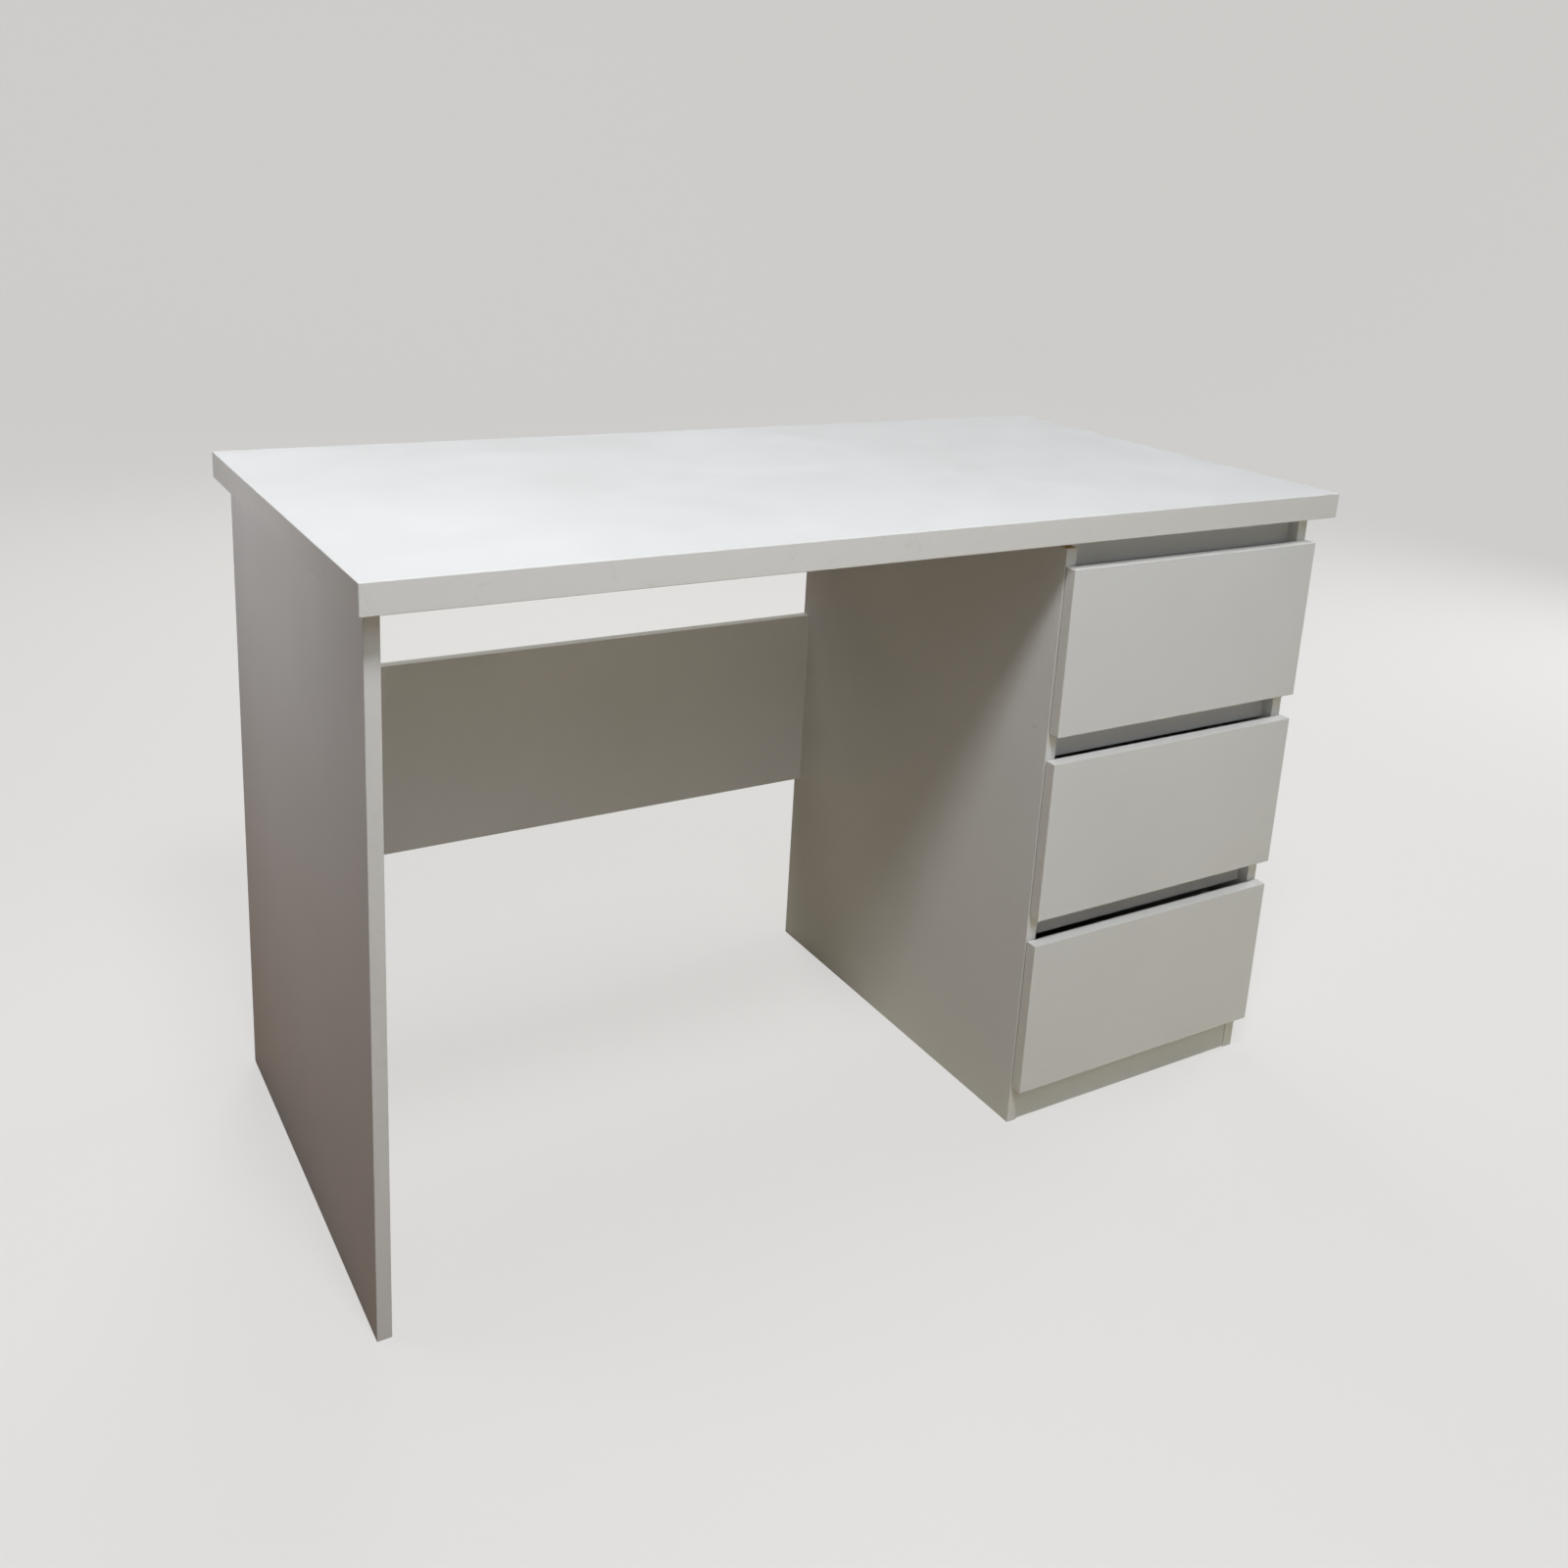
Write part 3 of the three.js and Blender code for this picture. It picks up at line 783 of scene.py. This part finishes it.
# Two washer-headed screws hold the front from inside, two flush ones hold each corner of the box, and two
# bumpers meet each pedestal side.
def drawerFixings(position):
    name = f"{position}_drawer"
    body = bodyOf(name + "_front")
    low, high = boxOf(name + "_box_front")
    height = (low[2] + high[2]) / 2
    inset = fixingSet["frontScrewInset"]
    screws = [fitting("washerHead", (x, high[1], height), "y", 1, True)
              for x in (low[0] + inset, high[0] - inset)]
    makePiece(pieceName(name + "_front_screws"), screws, [zincSteel], body)
    backLow, backHigh = boxOf(name + "_box_back")
    leftOuter, rightOuter = boxOf(name + "_left_side")[0][0], boxOf(name + "_right_side")[1][0]
    heads = []
    for y in ((low[1] + high[1]) / 2, (backLow[1] + backHigh[1]) / 2):
        for z in (low[2] + fixingSet["cornerInset"], high[2] - fixingSet["cornerInset"]):
            heads += [fitting("flushHead", (leftOuter, y, z), "x", -1, True)]
            heads += [fitting("flushHead", (rightOuter, y, z), "x", 1, True)]
    makePiece(pieceName(name + "_corner_screws"), heads, [zincSteel], body)
    frontLow, frontHigh = boxOf(name + "_front")
    sides = [sum(boxOf(f"pedestal_{hand}_side"))[0] / 2 for hand in ("left", "right")]
    bumpers = [fitting("bumper", (x, frontHigh[1], z), "y", 1) for x in sides
               for z in (frontLow[2] + fixingSet["bumperInset"], frontHigh[2] - fixingSet["bumperInset"])]
    makePiece(pieceName(name + "_bumpers"), bumpers, [softBumper], body)


for position in positions:
    drawerFixings(position)


# a white cap over the screw that comes through a pedestal side into the middle and bottom rails, near each
# rail's top edge
def coverCaps(hand, outerFace, sign):
    caps = []
    for rail in ("middle_rail", "bottom_rail"):
        low, high = boxOf(rail)
        z = high[2] - fixingSet["capBelowRail"]
        caps.append(fitting("coverCap", (outerFace, (low[1] + high[1]) / 2, z), "x", sign))
    makePiece(f"pedestal{hand}CoverCaps", caps, [whiteCap], "frame")


coverCaps("Left", boxOf("pedestal_left_side")[0][0], -1)
coverCaps("Right", boxOf("pedestal_right_side")[1][0], 1)


# the cams that draw the modesty panel to its neighbours, and the pins through the pedestal's back panel
def backFixings():
    low, high = boxOf("modesty_panel")
    cams = [fitting("cam", (x, high[1], z), "y", 1, True)
            for x in (low[0] + fixingSet["camInset"], high[0] - fixingSet["camInset"])
            for z in (low[2] + fixingSet["camEdge"], high[2] - fixingSet["camEdge"])]
    makePiece("modestyPanelCams", cams, [zincSteel], "frame")
    railLow, railHigh = boxOf("pedestal_back_rail")
    count = int((railHigh[0] - railLow[0]) / fixingSet["pinPitch"])
    inset = fixingSet["pinInset"]
    across = np.linspace(railLow[0] + inset, railHigh[0] - inset, count + 1)
    heights = ((railLow[2] + railHigh[2]) / 2, (insideLow[2] + insideHigh[2]) / 2)
    pins = [fitting("pin", (x, backPanel[1][1], z), "y", 1) for z in heights for x in across]
    makePiece("backPanelPins", pins, [zincSteel], "frame")


backFixings()
print("screws, caps, cams, pins and bumpers made")


# angle brackets under the desktop: a folded strip with its bend rounded, and a screw in each leg
bracketSet = {"gauge": 1.5 * mm, "bend": 1.8 * mm, "edge": 0.5 * mm, "ease": 0.3 * mm, "screw": 19 * mm}


def bracket(node):
    low, high = boxOf(node)
    towards = -1 if "right" in node else 1
    wall = high[0] if towards < 0 else low[0]
    leg, gauge, top = high[0] - low[0], bracketSet["gauge"], high[2]
    shape = [(0, 0), (leg, 0), (leg, -gauge), (gauge, -gauge), (gauge, -leg), (0, -leg)]
    radii = [bracketSet["bend"]] + [bracketSet["edge"]] * 5
    outline = roundedOutline([(wall + towards * x, top + z) for x, z in shape], radii)
    surfaces = [bar(outline, "y", low[1], high[1], bracketSet["ease"])]
    y = (low[1] + high[1]) / 2
    reach = bracketSet["screw"]
    surfaces.append(fitting("panHead", (wall + towards * reach, y, top - gauge), "z", -1, True))
    surfaces.append(fitting("panHead", (wall + towards * gauge, y, top - reach), "x", towards, True))
    makePiece(pieceName(node), surfaces, [zincSteel], "frame", [node])


for node in frame["nodes"]:
    if node.endswith("_bracket"):
        bracket(node)
print("brackets made")


# Studio: a pale paper bowl. Its outline, turned about the upright axis, is a flat floor, a quarter circle of
# radius "sweep" and a wall. The eye sees pale paper, but the light that it throws back on the desk is that of
# a warm brown floor, paler to the right.
studioSet = {
    "rings": [1.0, 2.0, 3.0], "floor": 4.0, "sweep": 1.5, "wall": 2.5, "steps": 17, "spokes": 96,  # metres
    "paper": "#7e7d7b", "light": "#e9e8e6", "glow": 0.7, "fibre": 6 * mm, "fibreDepth": 0.05 * mm,
    "bounceLeft": "#84705f", "bounceRight": "#c2b9a0", "blend": (-0.5, 0.3),
}


def studioPaper():
    look = studioSet
    material, tree, place = startMaterial("matt white paper")
    fibre = addNode(tree, "TexNoise", {"Vector": place, "Scale": 1 / look["fibre"], "Detail": 3.0})
    rough = addNode(tree, "Bump", {"Height": fibre, "Distance": look["fibreDepth"], "Strength": 1.0})
    seen = addNode(tree, "LightPath", {}).outputs["Is Camera Ray"]
    across = addNode(tree, "SeparateXYZ", {"Vector": place})
    share = addNode(tree, "MapRange", {"Value": across, **limits("From", look["blend"])})
    bounce = addNode(tree, "Mix", {
        0: share, 6: linear(look["bounceLeft"]), 7: linear(look["bounceRight"])}, data_type="RGBA")
    paper = addNode(tree, "Mix", {0: seen, 6: bounce.outputs[2], 7: linear(look["paper"])}, data_type="RGBA")
    glow = addNode(tree, "Math", {0: seen, 1: look["glow"]}, operation="MULTIPLY")
    shader = addNode(tree, "BsdfPrincipled", {
        "Base Color": paper.outputs[2], "Roughness": 1.0, "Specular IOR Level": 0.0, "Normal": rough,
        "Emission Color": linear(look["light"]), "Emission Strength": glow})
    addNode(tree, "OutputMaterial", {"Surface": shader})
    return material


def studioBowl():
    angle = np.radians(np.linspace(0, 90, studioSet["steps"]))
    radius = np.concatenate([studioSet["rings"], studioSet["floor"] + studioSet["sweep"] * np.sin(angle)])
    level = np.concatenate([[0] * len(studioSet["rings"]), studioSet["sweep"] * (1 - np.cos(angle))])
    radius = np.append(radius, radius[-1])
    level = np.append(level, level[-1] + studioSet["wall"])
    turn = np.linspace(0, 2 * np.pi, studioSet["spokes"], endpoint=False)
    points = axisPoints("z", radius[:, None, None] * np.stack([np.cos(turn), np.sin(turn)], 1),
                        np.repeat(level[:, None], len(turn), 1))
    faces = ringFaces(len(radius), len(turn))[:, ::-1].tolist()
    faces.append(list(range(len(turn))))
    mesh = bpy.data.meshes.new("studioPaper")
    mesh.from_pydata(points.reshape(-1, 3).tolist(), [], faces)
    mesh.polygons.foreach_set("use_smooth", np.ones(len(faces), bool))
    mesh.materials.append(studioPaper())
    bowl = bpy.data.objects.new("studioPaper", mesh)
    bpy.context.scene.collection.objects.link(bowl)


studioBowl()

# light: each soft lamp's place and the point it faces in metres, its width in metres, power in watts, colour,
# and whether it shines in the glossy faces
lampSet = {
    "keyLamp": ((-0.55, -1.21, 2.6), (0, -0.1, 0.5), 0.5, 36, "#fafafe", True),
    "overheadSoftbox": ((-0.2, 0.6, 3.0), (0, 0.1, 0), 2.0, 13, "#f6f8ff", True),
    "frontFill": ((-0.3, -2.6, 2.9), (0, 0, 0.4), 1.6, 17, "#eef4ff", True),
    "kneeFill": ((-0.6, -3.2, 1.0), (-0.2, 0, 0.4), 1.2, 7, "#fffaf2", True),
    "rightFill": ((2.0, -2.4, 2.4), (0, 0, 0.5), 1.6, 8, "#dbe8ff", True),
    "leftFill": ((-1.15, 0.2, 1.0), (-0.6, 0.15, 0.7), 0.5, 2.5, "#f8f8fc", True),
    "sideFill": ((3.4, 0.3, 1.5), (0.4, 0, 0.4), 1.6, 45, "#fbfbff", True),
    "backFill": ((0.6, 2.8, 2.4), (0, 0, 0.4), 1.6, 45, "#fffdfa", False),
}
skySet = {"colour": "#eef2f8", "strength": 0.03}


def addLamp(name, place, target, width, power, colour, shines):
    data = bpy.data.lights.new(name, "AREA")
    data.shape = "DISK"
    data.size = width
    data.energy = power
    data.color = linear(colour)[:3]
    lamp = bpy.data.objects.new(name, data)
    lamp.location = place
    lamp.rotation_euler = (Vector(target) - Vector(place)).to_track_quat("-Z", "Y").to_euler()
    lamp.visible_camera = False
    lamp.visible_glossy = shines
    bpy.context.scene.collection.objects.link(lamp)


def addSky():
    world = bpy.data.worlds.new("sky")
    world.use_nodes = True
    sky = world.node_tree.nodes["Background"]
    sky.inputs["Color"].default_value = linear(skySet["colour"])
    sky.inputs["Strength"].default_value = skySet["strength"]
    bpy.context.scene.world = world


for name, settings in lampSet.items():
    addLamp(name, *settings)
addSky()
print("studio and light made")
